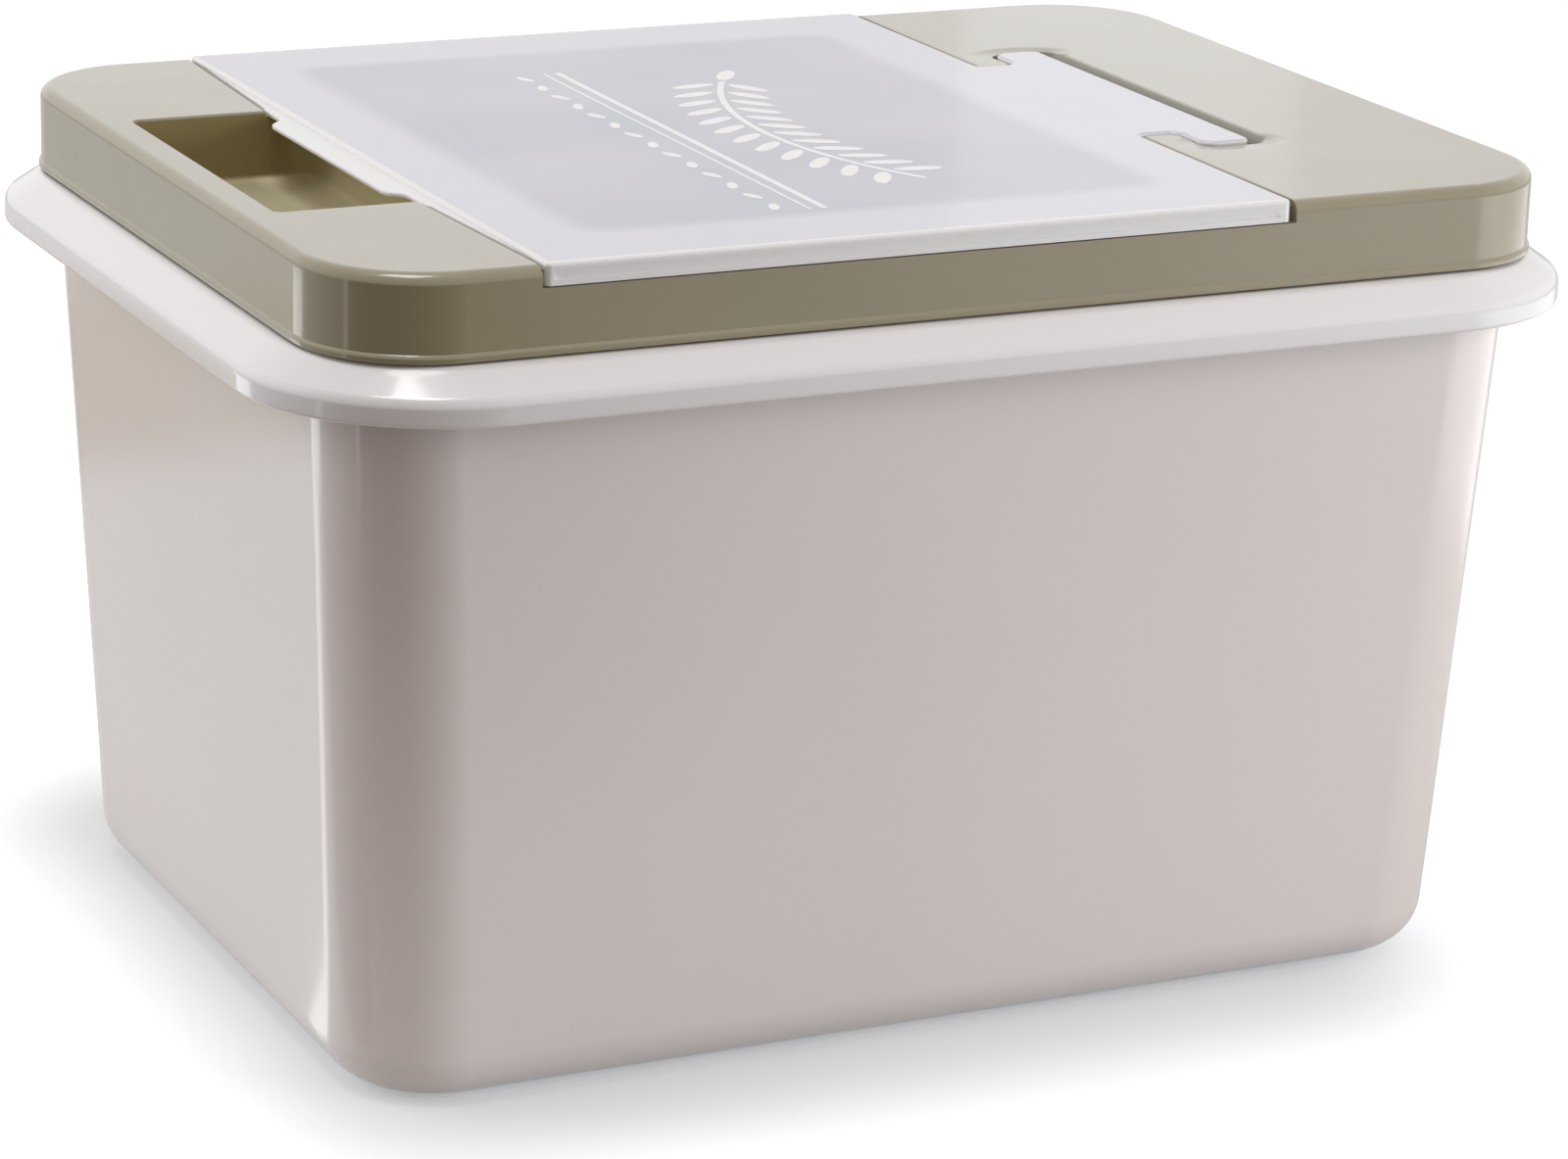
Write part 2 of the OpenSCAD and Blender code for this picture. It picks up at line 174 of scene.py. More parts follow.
# Every moulding has broad, faint patches where the melt cooled slower, and a fine skin from the mould.
# Sizes are in millimetres.
moulded_skin, given, result = effect(
    "moulded skin",
    {"Colour": (0.8, 0.8, 0.8), "Patch Colour": (0.8, 0.8, 0.8), "Patch Size": 60.0, "Roughness": 0.3,
     "Roughness Change": 0.1, "Grain Size": 0.5},
    {"Colour": "NodeSocketColor", "Roughness": "NodeSocketFloat", "Height": "NodeSocketFloat"})
place = object_place(moulded_skin)
patches = place_node(moulded_skin, "ShaderNodeTexNoise", {
    "Vector": place, "Scale": calculate(moulded_skin, "DIVIDE", 1000.0, given["Patch Size"]), "Detail": 1.5})
patch = step_mask(moulded_skin, patches.outputs[0], 0.25, 0.75)
cloud = place_node(moulded_skin, "ShaderNodeTexNoise", {
    "Vector": place, "Scale": calculate(moulded_skin, "DIVIDE", 2500.0, given["Patch Size"]), "Detail": 2.0})
grain_noise = place_node(moulded_skin, "ShaderNodeTexNoise", {
    "Vector": place, "Scale": calculate(moulded_skin, "DIVIDE", 1000.0, given["Grain Size"]), "Detail": 2.0})
drift = calculate(moulded_skin, "SUBTRACT", step_mask(moulded_skin, cloud.outputs[0], 0.2, 0.8), 0.5)
rough = calculate(moulded_skin, "MULTIPLY_ADD", drift, given["Roughness Change"], given["Roughness"])
moulded_skin.links.new(blend(moulded_skin, patch, given["Colour"], given["Patch Colour"]), result["Colour"])
moulded_skin.links.new(rough, result["Roughness"])
moulded_skin.links.new(grain_noise.outputs[0], result["Height"])

# Handling rubs the skin in broad, soft wipes that run one way, and dulls the gloss a little there.
rub_marks, given, result = effect(
    "rub marks", {"Roughness": 0.3, "Strength": 0.03, "Turn": 0.6}, {"Roughness": "NodeSocketFloat"})
turned_place = place_node(rub_marks, "ShaderNodeVectorRotate", {
    "Vector": object_place(rub_marks), "Angle": given["Turn"]})
stretched = place_node(rub_marks, "ShaderNodeMapping", {
    "Vector": turned_place.outputs[0], "Scale": (10, 45, 45)})
wipes = place_node(rub_marks, "ShaderNodeTexNoise", {
    "Vector": stretched.outputs[0], "Scale": 1.0, "Detail": 1.0})
rub_marks.links.new(calculate(rub_marks, "MULTIPLY_ADD", step_mask(rub_marks, wipes.outputs[0], 0.3, 0.75),
                              given["Strength"], given["Roughness"]), result["Roughness"])


def plastic(name, skin, rubbed, gloss=1.0, gloss_roughness=0.1, grain_depth=0.00001):
    """A moulded plastic. Skin and rubbed give the two effects' values. Returns the material, its node tree,
    the base colour's socket and the skin's colour, so that a section can blend more in between them."""
    material = bpy.data.materials.new(name)
    material.use_nodes = True
    tree = material.node_tree
    shader = tree.nodes["Principled BSDF"]
    surface = tree.nodes.new("ShaderNodeGroup")
    surface.node_tree = moulded_skin
    for socket, value in skin.items():
        surface.inputs[socket].default_value = (*value, 1) if isinstance(value, tuple) else value
    marks = tree.nodes.new("ShaderNodeGroup")
    marks.node_tree = rub_marks
    for socket, value in rubbed.items():
        marks.inputs[socket].default_value = value
    tree.links.new(surface.outputs["Colour"], shader.inputs["Base Color"])
    tree.links.new(surface.outputs["Roughness"], marks.inputs["Roughness"])
    tree.links.new(marks.outputs["Roughness"], shader.inputs["Roughness"])
    bump = place_node(tree, "ShaderNodeBump", {"Height": surface.outputs["Height"], "Strength": 0.3,
                                               "Distance": grain_depth})
    tree.links.new(bump.outputs[0], shader.inputs["Normal"])
    shader.inputs["Coat Weight"].default_value = gloss
    shader.inputs["Coat Roughness"].default_value = gloss_roughness
    return material, tree, shader.inputs["Base Color"], surface.outputs["Colour"]


milky, tree, base_colour, skin_colour = plastic(
    "milky_polypropylene",
    {"Colour": (0.735, 0.69, 0.68), "Patch Colour": (0.765, 0.71, 0.71), "Patch Size": 90.0,
     "Roughness": 0.32, "Roughness Change": 0.05, "Grain Size": 0.6},
    {"Strength": 0.03, "Turn": 0.2})
# The wall is painted darker and warmer round its corners: painted shade. It leans out by WALL_LEAN as it
# rises.
# The hollow flange and the neck let more light through, so they look whiter. Places are in metres.
WALL_LEAN = 0.046
CORNER_SHADE_COLOUR, CORNER_SHADE_X, CORNER_SHADE_Y = (0.715, 0.645, 0.615), (0.128, 0.144), (0.083, 0.099)
FLANGE_COLOUR, FLANGE_FROM = (0.765, 0.75, 0.77), (0.1795, 0.1815)
spot = object_place(tree)
height = split(tree, spot)["Z"]
reach = split(tree, vector_math(tree, "ABSOLUTE", spot))
corner_shade_x = step_mask(tree, calculate(tree, "MULTIPLY_ADD", height, -WALL_LEAN, reach["X"]), *CORNER_SHADE_X)
corner_shade_y = step_mask(tree, calculate(tree, "MULTIPLY_ADD", height, -WALL_LEAN, reach["Y"]), *CORNER_SHADE_Y)
wall = blend(tree, calculate(tree, "MULTIPLY", corner_shade_x, corner_shade_y), skin_colour, CORNER_SHADE_COLOUR)
tree.links.new(blend(tree, step_mask(tree, height, *FLANGE_FROM), wall, FLANGE_COLOUR), base_colour)

tub_bm = bmesh.new()
tub_loops = [rounded_loop(tub_bm, TUB_HALF[0] - inset, TUB_HALF[1] - inset, radius, z)
             for inset, radius, z, _ in TUB_RINGS]
bridge(tub_bm, tub_loops)
bmesh.ops.contextual_create(tub_bm, geom=tub_loops[0])
bmesh.ops.contextual_create(tub_bm, geom=tub_loops[-1])
for loop, ring in zip(tub_loops, TUB_RINGS):
    if ring[3]:
        soften(tub_bm, loop, ring[3], 10 if ring[3] > 5 else 4)
finish_piece(tub_bm, "tub_moulding", "tub", [milky], "tub")


# Lid: one taupe polypropylene moulding, pushed over the tub's neck. Its skirt ends in a thin lip, and ribs
# underneath stiffen it. A recess takes the flap, with a finger well at one end and the hinge's pocket at
# the other. It is made from a solid blank that is cut and added to.
SKIRT_HALF, SKIRT_R, LID_Z, RIM_Z = (168.4, 123.9), 31.3, 214.5, 207
LIP, LIP_BOTTOM_Z, LIP_SIDE_Z, LIP_TOP_Z = 0.6, 193, 194.6, 195.2
UNDER_HALF, INNER_R, RIB_T, ABOVE_Z = (166.2, 119.5), 26.1, 2.2, 220
LEDGE_Z, UNDER_LEDGE_Z, UNDER_PLATE_Z, FUSE_Z = 213.1, 210.9, 212.3, 212.6
FLAP_FRONT_X, FLAP_REAR_X, FLAP_Y, NECK_Y, STRIP_Y = -117.5, 83.5, 123.9, 44.5, 59.5
FLAP_GAP, FLAP_SWING = 0.8, 1.3
NOTCH_Y, NOTCH_Z = 121.7, 209.2
WELL_CENTRE, WELL_HALF, WELL_Z = (-132, 0), (26, 53.5), 196.2
OPENING_CENTRE, OPENING_HALF, OPENING_R = (-17, 0), (79, 99.4), 12
REBATE, REBATE_Z = 4.5, 211.3
HINGE_X, HINGE_Z, SOCKET_R = 103, 209.9, 2.08
POCKET_CENTRE, POCKET_HALF, POCKET_Z = (103.36, 0), (8.64, 60.5), 200.9


def block(half, radius, z0, z1, centre=(0, 0)):
    """A closed block with rounded upright corners, with its lower and upper loops of edges."""
    bm = bmesh.new()
    low = rounded_loop(bm, *half, radius, z0, centre)
    high = rounded_loop(bm, *half, radius, z1, centre)
    bmesh.ops.bridge_loops(bm, edges=low + high)
    bmesh.ops.contextual_create(bm, geom=low)
    bmesh.ops.contextual_create(bm, geom=high)
    return bm, low, high


def brick(low, high):
    bm = bmesh.new()
    cube = bmesh.ops.create_cube(bm, size=1)["verts"]
    bmesh.ops.scale(bm, vec=[b - a for a, b in zip(low, high)], verts=cube)
    bmesh.ops.translate(bm, vec=[(a + b) / 2 for a, b in zip(low, high)], verts=cube)
    return bm


def rod(radius, length, x, z, segments):
    """A closed cylinder along Y."""
    bm = bmesh.new()
    bmesh.ops.create_cone(bm, cap_ends=True, segments=segments, radius1=radius, radius2=radius, depth=length,
                          matrix=Matrix.Translation((x, 0, z)) @ Matrix.Rotation(math.pi / 2, 4, "X"))
    return bm


def raise_faces(bm, faces, height):
    raised = bmesh.ops.extrude_face_region(bm, geom=faces, use_keep_orig=True)["geom"]
    bmesh.ops.translate(bm, vec=(0, 0, height),
                        verts=[part for part in raised if isinstance(part, bmesh.types.BMVert)])


def slab(corners, z0, z1):
    """A flat slab from a few corners, each given as x, y and the radius that rounds it."""
    bm = bmesh.new()
    verts = [bm.verts.new((x, y, z0)) for x, y, _ in corners]
    bm.faces.new(verts)
    for radius in sorted({r for _, _, r in corners if r}):
        bmesh.ops.bevel(bm, geom=[v for v, c in zip(verts, corners) if c[2] == radius], affect="VERTICES",
                        offset=radius, offset_type="OFFSET", segments=8, profile=0.5, material=-1)
    bm.faces.ensure_lookup_table()
    raise_faces(bm, [bm.faces[0]], z1 - z0)
    return bm


def solid(bm):
    bmesh.ops.recalc_face_normals(bm, faces=bm.faces)
    mesh = bpy.data.meshes.new("blank")
    bm.to_mesh(mesh)
    bm.free()
    blank = bpy.data.objects.new("blank", mesh)
    bpy.context.scene.collection.objects.link(blank)
    return blank


def fixed_order(mesh):
    """Sorts a mesh, because the boolean solver leaves its parts in another order on each run."""
    bm = bmesh.new()
    bm.from_mesh(mesh)
    for parts, sort_key in ((bm.verts, lambda vert: vert.co[:]),
                            (bm.edges, lambda edge: sorted(v.index for v in edge.verts)),
                            (bm.faces, lambda face: sorted(v.index for v in face.verts))):
        rank = {part.index: number for number, part in enumerate(sorted(parts, key=sort_key))}
        parts.sort(key=lambda part: rank[part.index])
        parts.index_update()
    bm.to_mesh(mesh)
    bm.free()


def combine(target, operation, *tools):
    """Adds or cuts closed blanks, one after another."""
    for bm in tools:
        tool = solid(bm)
        step = target.modifiers.new("step", "BOOLEAN")
        step.object, step.operation, step.solver = tool, operation, "EXACT"
        graph = bpy.context.evaluated_depsgraph_get()
        mesh = bpy.data.meshes.new_from_object(target.evaluated_get(graph))
        fixed_order(mesh)
        target.modifiers.clear()
        target.data = mesh
        bpy.data.objects.remove(tool)


def tidy_mesh(blank):
    """Takes the blank back into a bmesh, with its flat faces made whole."""
    bm = bmesh.new()
    bm.from_mesh(blank.data)
    bpy.data.objects.remove(blank)
    bmesh.ops.remove_doubles(bm, verts=bm.verts, dist=0.002)
    bmesh.ops.dissolve_limit(bm, angle_limit=math.radians(0.3), verts=bm.verts, edges=bm.edges)
    return bm


def mirrored(corners):
    """The outline's other half across the bin's middle plane."""
    return corners + [(x, -y, r) for x, y, r in reversed(corners)]


def tab_outline(gap):
    """Half of the finger tab's plan. It bows out from the flap's front edge, then steps out again."""
    bow_x = FLAP_FRONT_X - 3.2 - gap
    return [(bow_x, -53.5, 6), (bow_x, -44.4 - gap, 1.5), (bow_x - 4.4, -40 - gap, 2)]


def plate_outline(gap, swing, end_gap, groove, side_y):
    """Half of the plan of the flap's plate, from hinge strip to front edge, grown by the gaps round it."""
    return [
        (HINGE_X + 6.5 + groove, -STRIP_Y - end_gap, 3 + end_gap),
        (HINGE_X - 7.5 - gap, -STRIP_Y - end_gap, 4.5 + end_gap),
        (HINGE_X - 7.5 - gap, -NECK_Y - gap, 4 - gap),
        (FLAP_REAR_X + swing, -NECK_Y - gap, 2.4 - gap),
        (FLAP_REAR_X + swing, -side_y, 0),
        (FLAP_FRONT_X - gap, -side_y, 0),
    ]


def end_cavity(x, side):
    """Hollow under the lid's plate at one end."""
    bm, _, _ = block(UNDER_HALF, INNER_R, RIM_Z - 1, UNDER_PLATE_Z)
    bmesh.ops.bisect_plane(bm, geom=bm.verts[:] + bm.edges[:] + bm.faces[:], plane_co=(x, 0, 0),
                           plane_no=(side, 0, 0), clear_inner=True)
    bmesh.ops.holes_fill(bm, edges=[e for e in bm.edges if e.is_boundary])
    return bm


def rib_loop(half, radius, z0, z1, thickness, centre=(0, 0)):
    """A standing wall round a rounded rectangle."""
    bm = bmesh.new()
    inner = [h - thickness for h in half]
    loops = [rounded_loop(bm, *half, radius, z0, centre), rounded_loop(bm, *half, radius, z1, centre),
             rounded_loop(bm, *inner, radius - thickness, z1, centre),
             rounded_loop(bm, *inner, radius - thickness, z0, centre)]
    bridge(bm, loops + loops[:1])
    return bm


def grown(half, amount):
    return [h + amount for h in half]


def flared_pocket(half, radius, floor_z, centre, flare, top, steps=8):
    """Cutter for a pocket whose mouth is rounded at its far edge and its ends. Its near edge stays sharp."""
    bm = bmesh.new()
    loops = [rounded_loop(bm, *half, radius, floor_z, centre)]
    for step in range(steps + 1):
        turn = math.radians(80 * step / steps)
        out, up = flare * (1 - math.cos(turn)), flare * math.sin(turn)
        if step == steps:
            out, up = out + 6 * math.sin(turn), up + 6 * math.cos(turn)
        loops.append(rounded_loop(bm, half[0] + out / 2, half[1] + out * 0.3, radius + out * 0.3,
                                  top - flare + up, (centre[0] + out / 2, centre[1])))
    bridge(bm, loops)
    bmesh.ops.contextual_create(bm, geom=loops[0])
    bmesh.ops.contextual_create(bm, geom=loops[-1])
    return bm


shell_bm = bmesh.new()
lip_half = grown(SKIRT_HALF, LIP)
lid_loops = [rounded_loop(shell_bm, *lip_half, SKIRT_R + LIP, LIP_BOTTOM_Z),
             rounded_loop(shell_bm, *lip_half, SKIRT_R + LIP, LIP_SIDE_Z),
             rounded_loop(shell_bm, *SKIRT_HALF, SKIRT_R, LIP_TOP_Z),
             rounded_loop(shell_bm, *SKIRT_HALF, SKIRT_R, LID_Z)]
bridge(shell_bm, lid_loops)
bmesh.ops.contextual_create(shell_bm, geom=lid_loops[0])
bmesh.ops.contextual_create(shell_bm, geom=lid_loops[-1])
soften(shell_bm, lid_loops[3], 3, 7)
soften(shell_bm, lid_loops[1], 0.4, 3)
soften(shell_bm, lid_loops[0], 0.4, 3)
lid_blank = solid(shell_bm)

combine(lid_blank, "DIFFERENCE",
        block((166.2, 121.7), 29.1, 190, RIM_Z)[0],
        block(UNDER_HALF, INNER_R, RIM_Z - 1, UNDER_LEDGE_Z)[0],
        end_cavity(-127.3, -1), end_cavity(87, 1))
well_shell, well_foot, _ = block(grown(WELL_HALF, RIB_T), 4.2, WELL_Z - RIB_T, FUSE_Z, WELL_CENTRE)
soften(well_shell, well_foot, 2.5)
combine(lid_blank, "UNION",
        rib_loop((163.2, 118.7), INNER_R, RIM_Z - 8, FUSE_Z, RIB_T),
        well_shell,
        brick((92.5, -62.7, POCKET_Z - RIB_T), (114.2, 62.7, FUSE_Z)),
        brick((HINGE_X - 5.2, -66.7, HINGE_Z - 5.2), (HINGE_X + 5.2, 66.7, 212.8)),
        block(grown(OPENING_HALF, 6.7), OPENING_R + 6.7, 209.1, FUSE_Z, OPENING_CENTRE)[0])

well_hollow, well_floor, _ = block(WELL_HALF, 2, WELL_Z, ABOVE_Z, WELL_CENTRE)
soften(well_hollow, well_floor, 1.8)
combine(lid_blank, "DIFFERENCE",
        slab(mirrored(plate_outline(FLAP_GAP, FLAP_SWING, 0.7, 2.5, 130) + tab_outline(FLAP_GAP)),
             LEDGE_Z, ABOVE_Z),
        brick((FLAP_FRONT_X - FLAP_GAP, -140, NOTCH_Z), (FLAP_REAR_X + FLAP_SWING, -NOTCH_Y, ABOVE_Z)),
        brick((FLAP_FRONT_X - FLAP_GAP, NOTCH_Y, NOTCH_Z), (FLAP_REAR_X + FLAP_SWING, 140, ABOVE_Z)),
        block(OPENING_HALF, OPENING_R, 198, ABOVE_Z, OPENING_CENTRE)[0],
        block(grown(OPENING_HALF, REBATE), OPENING_R + REBATE, REBATE_Z, ABOVE_Z, OPENING_CENTRE)[0],
        well_hollow,
        flared_pocket(POCKET_HALF, 4, POCKET_Z, POCKET_CENTRE, 4.4, LID_Z),
        rod(SOCKET_R, 129, HINGE_X, HINGE_Z, 32))
# The well's floor runs up its inner wall in a ramp.
WELL_RAMP_R = 6
ramp_x, ramp_z = WELL_CENTRE[0] + WELL_HALF[0] - WELL_RAMP_R, WELL_Z + WELL_RAMP_R
ramp_blank = solid(brick((ramp_x, -WELL_HALF[1] - 0.3, WELL_Z - 0.5),
                         (ramp_x + WELL_RAMP_R + 0.4, WELL_HALF[1] + 0.3, ramp_z)))
combine(ramp_blank, "DIFFERENCE", rod(WELL_RAMP_R, 130, ramp_x, ramp_z, 96))
combine(lid_blank, "UNION", tidy_mesh(ramp_blank))
# A shallow dish eases each end of the groove.
for side in (-1, 1):
    dish = bmesh.new()
    bmesh.ops.create_uvsphere(dish, u_segments=48, v_segments=24, radius=1)
    bmesh.ops.scale(dish, vec=(30, 17, 3), verts=dish.verts)
    bmesh.ops.translate(dish, vec=(HINGE_X + 1, side * 58, LID_Z + 2.45), verts=dish.verts)
    combine(lid_blank, "DIFFERENCE", dish)
lid_bm = tidy_mesh(lid_blank)
top_edges = [e for e in lid_bm.edges if e.is_manifold and all(abs(v.co.z - LID_Z) < 0.01 for v in e.verts)
             and e.calc_face_angle() > math.radians(40)]
soften(lid_bm, top_edges, 0.7, 3)
taupe, tree, base_colour, skin_colour = plastic(
    "taupe_polypropylene",
    {"Colour": (0.26, 0.225, 0.135), "Patch Colour": (0.28, 0.245, 0.155), "Patch Size": 70.0,
     "Roughness": 0.32, "Roughness Change": 0.05, "Grain Size": 0.5},
    {"Strength": 0.02, "Turn": 0.5})
# Painted shade darkens the groove beside the strip. Places are in metres, from the middle of the groove's
# mouth.
GROOVE_AT, GROOVE_SHADE_COLOUR = (0.1125, 0, 0.2142), (0.12, 0.105, 0.06)
GROOVE_SHADE_X, GROOVE_SHADE_Y, GROOVE_SHADE_Z = (0.0042, 0.0038), (0.065, 0.062), (0.00025, 0)
from_groove = vector_math(tree, "SUBTRACT", object_place(tree), GROOVE_AT)
beside = split(tree, vector_math(tree, "ABSOLUTE", from_groove))
groove_shade = calculate(tree, "MULTIPLY", step_mask(tree, beside["X"], *GROOVE_SHADE_X),
                 calculate(tree, "MULTIPLY", step_mask(tree, beside["Y"], *GROOVE_SHADE_Y),
                           step_mask(tree, split(tree, from_groove)["Z"], *GROOVE_SHADE_Z)))
tree.links.new(blend(tree, groove_shade, skin_colour, GROOVE_SHADE_COLOUR), base_colour)
# The finger well has a matt, sparked finish for grip. Its floor is painted paler, most of all towards the
# flap, and so
# is its wall there: painted light, for the light through the flap. Places are in metres.
WALL_PAINTED_LIGHT_COLOUR, WALL_PAINTED_LIGHT_X, WELL_FLOOR_Z = (0.58, 0.52, 0.31), (-0.12, -0.107), (0.1978, 0.1963)
FLOOR_PAINTED_LIGHT_COLOURS, FLOOR_PAINTED_LIGHT_X = ((0.52, 0.47, 0.31), (0.76, 0.7, 0.49)), (-0.1275, -0.121)
matt_taupe, tree, base_colour, skin_colour = plastic(
    "matt_taupe_polypropylene",
    {"Colour": (0.255, 0.205, 0.088), "Patch Colour": (0.27, 0.22, 0.096), "Patch Size": 20.0,
     "Roughness": 0.6, "Roughness Change": 0.1, "Grain Size": 0.8},
    {"Strength": 0.03, "Turn": 0.2}, gloss=0.0, grain_depth=0.00008)
spot = split(tree, object_place(tree))
painted_light_wall = blend(tree, step_mask(tree, spot["X"], *WALL_PAINTED_LIGHT_X), skin_colour, WALL_PAINTED_LIGHT_COLOUR)
painted_light_floor = blend(tree, step_mask(tree, spot["X"], *FLOOR_PAINTED_LIGHT_X), *FLOOR_PAINTED_LIGHT_COLOURS)
tree.links.new(blend(tree, step_mask(tree, spot["Z"], *WELL_FLOOR_Z), painted_light_wall, painted_light_floor), base_colour)
for face in lid_bm.faces:
    middle = face.calc_center_median()
    inside = abs(middle.x - WELL_CENTRE[0]) < WELL_HALF[0] + 0.01 and abs(middle.y) < WELL_HALF[1] + 0.01
    if inside and WELL_Z - 0.1 < middle.z < LEDGE_Z and face.normal.z > -0.01:
        face.material_index = 1
finish_piece(lid_bm, "lid_moulding", "lid", [taupe, matt_taupe], "lid", recalc=False)


# Flap: one frosted polypropylene moulding. Its long sides turn down over the lid's edge, a rib underneath
# drops into the scoop opening, and a barrel under its strip carries two trunnions that turn in the lid's
# sockets. The finger tab is a lower lip, let into the plate's front edge.
FLAP_Z, TAB_Z = 215.0, 214.1
EDGE_BOTTOM_Z, EDGE_WALL_Y = 209.5, 122.0
BARREL_R, TRUNNION_R, FLAP_RIB_T, FLAP_RIB_GAP = 3.6, 2, 1.8, 0.9
BEAD_Z, BAND_TOP_Z, BEAD_DEPTH = 210.9, 213.4, 0.45


def side_band(side):
    """Cutter for the shallow band along a turned-down edge, above its bead. It fades out at both ends."""
    inner, outer = side * (FLAP_Y - BEAD_DEPTH), side * (FLAP_Y + 1.1)
    corners = [(FLAP_FRONT_X + 4, inner, 0), (FLAP_REAR_X - 5, inner, 0), (FLAP_REAR_X + 3, outer, 0),
               (FLAP_FRONT_X - 4, outer, 0)]
    return slab(corners, BEAD_Z, BAND_TOP_Z)


flap_blank = solid(slab(mirrored(plate_outline(0, 0, 0, 0, FLAP_Y)), LEDGE_Z, FLAP_Z))
tab_root = [(FLAP_FRONT_X + 6, -100, 0), (FLAP_FRONT_X + 0.5, -118, 0)]
combine(flap_blank, "UNION",
        slab(mirrored(tab_root + tab_outline(0)), LEDGE_Z + 0.02, TAB_Z),
        brick((FLAP_FRONT_X, -FLAP_Y, EDGE_BOTTOM_Z), (FLAP_REAR_X, -EDGE_WALL_Y, FLAP_Z)),
        brick((FLAP_FRONT_X, EDGE_WALL_Y, EDGE_BOTTOM_Z), (FLAP_REAR_X, FLAP_Y, FLAP_Z)),
        rib_loop(grown(OPENING_HALF, -FLAP_RIB_GAP), OPENING_R - FLAP_RIB_GAP, LEDGE_Z - 8, LEDGE_Z + 0.5,
                 FLAP_RIB_T, OPENING_CENTRE),
        brick((HINGE_X - BARREL_R, -58.5, HINGE_Z), (HINGE_X + BARREL_R, 58.5, LEDGE_Z + 0.5)),
        rod(BARREL_R, 117, HINGE_X, HINGE_Z, 48),
        rod(TRUNNION_R, 128.4, HINGE_X, HINGE_Z, 32))
combine(flap_blank, "DIFFERENCE", side_band(-1), side_band(1))
flap_bm = tidy_mesh(flap_blank)


def edges_where(bm, rule):
    """Sharp edges whose two ends both keep a rule."""
    return [e for e in bm.edges if e.is_manifold and e.calc_face_angle() > math.radians(40)
            and all(rule(v.co) for v in e.verts)]


def outside_box(tree, place, half):
    """Distance beyond the sides of an upright box about the origin, and 0 inside it."""
    beyond = vector_math(tree, "SUBTRACT", vector_math(tree, "ABSOLUTE", place), (*half, 1))
    return vector_math(tree, "LENGTH", vector_math(tree, "MAXIMUM", beyond, (0, 0, 0)), output="Value")


for y in (-FLAP_Y, FLAP_Y):
    soften(flap_bm, edges_where(flap_bm, lambda p: p.x > 83 and abs(p.y - y) < 0.01), 2.2, 6)
    soften(flap_bm, edges_where(flap_bm, lambda p: p.x < -117 and abs(p.y - y) < 0.01), 1.6, 6)
soften(flap_bm, edges_where(flap_bm, lambda p: abs(p.z - FLAP_Z) < 0.01), 0.85, 4)
soften(flap_bm, edges_where(flap_bm, lambda p: abs(p.z - TAB_Z) < 0.01 and p.x < FLAP_FRONT_X - 0.05), 0.5, 3)
for z in (BEAD_Z, EDGE_BOTTOM_Z):
    soften(flap_bm, edges_where(flap_bm, lambda p: abs(p.z - z) < 0.01 and abs(p.y) > FLAP_Y - 0.01), 0.35, 3)
# The panel's middle is painted darker: painted shade, for the dark scoop opening below it. Its border is
# painted whiter, and its edges, sides and underside whitest: painted light. Places are in metres, from the
# panel's middle.
PANEL_MIDDLE, PANEL_HALF, BORDER_FROM = (-0.0175, 0, 0), (0.0705, 0.09), (0.004, 0.0135)
BORDER_COLOUR, EDGE_PAINTED_LIGHT_COLOUR = (0.555, 0.555, 0.64), (0.78, 0.775, 0.79)
EDGE_PAINTED_LIGHT_FROM_Y, EDGE_PAINTED_LIGHT_FROM_X, EDGE_PAINTED_LIGHT_FROM_Z = (0.1215, 0.1225), (-0.0982, -0.0992), (0.2149, 0.2145)
frosted, tree, base_colour, skin_colour = plastic(
    "frosted_polypropylene",
    {"Colour": (0.33, 0.345, 0.455), "Patch Colour": (0.43, 0.415, 0.49), "Patch Size": 75.0,
     "Roughness": 0.31, "Roughness Change": 0.04, "Grain Size": 0.4},
    {"Strength": 0.02, "Turn": 1.9}, gloss=0.88)
from_middle = vector_math(tree, "SUBTRACT", object_place(tree), PANEL_MIDDLE)
distance = outside_box(tree, from_middle, PANEL_HALF)
panel = blend(tree, step_mask(tree, distance, *BORDER_FROM), skin_colour, BORDER_COLOUR)
across = split(tree, vector_math(tree, "ABSOLUTE", from_middle))["Y"]
spot = split(tree, from_middle)
edge = calculate(tree, "MAXIMUM", step_mask(tree, across, *EDGE_PAINTED_LIGHT_FROM_Y),
                 step_mask(tree, spot["X"], *EDGE_PAINTED_LIGHT_FROM_X))
edge = calculate(tree, "MAXIMUM", edge, step_mask(tree, spot["Z"], *EDGE_PAINTED_LIGHT_FROM_Z))
tree.links.new(blend(tree, edge, panel, EDGE_PAINTED_LIGHT_COLOUR), base_colour)
finish_piece(flap_bm, "flap_moulding", "flap", [frosted], "flap", recalc=False)


# Print on the flap: one pass of white ink. A rice ear bends over two rules and a row of loose grains.
INK_T, INK_Z = 0.06, FLAP_Z - 0.01
EAR_CENTRE, EAR_RADIUS, EAR_START, EAR_TURN, STEM_WIDTH = (112, -12), 120, 150, 60, 1.7
RULE_ENDS, EAR_GRAIN, TIP_GRAIN, LOOSE_GRAIN = (-94, 72), (13, 4.4), (13, 4.7), (7, 2.7)


def grain(bm, x, y, length, width, turn):
    verts = bmesh.ops.create_circle(bm, cap_ends=True, segments=20, radius=1)["verts"]
    bmesh.ops.scale(bm, vec=(length / 2, width / 2, 1), verts=verts)
    bmesh.ops.rotate(bm, cent=(0, 0, 0), matrix=Matrix.Rotation(math.radians(turn), 3, "Z"), verts=verts)
    bmesh.ops.translate(bm, vec=(x, y, INK_Z), verts=verts)
    raise_faces(bm, list(verts[0].link_faces), INK_T)


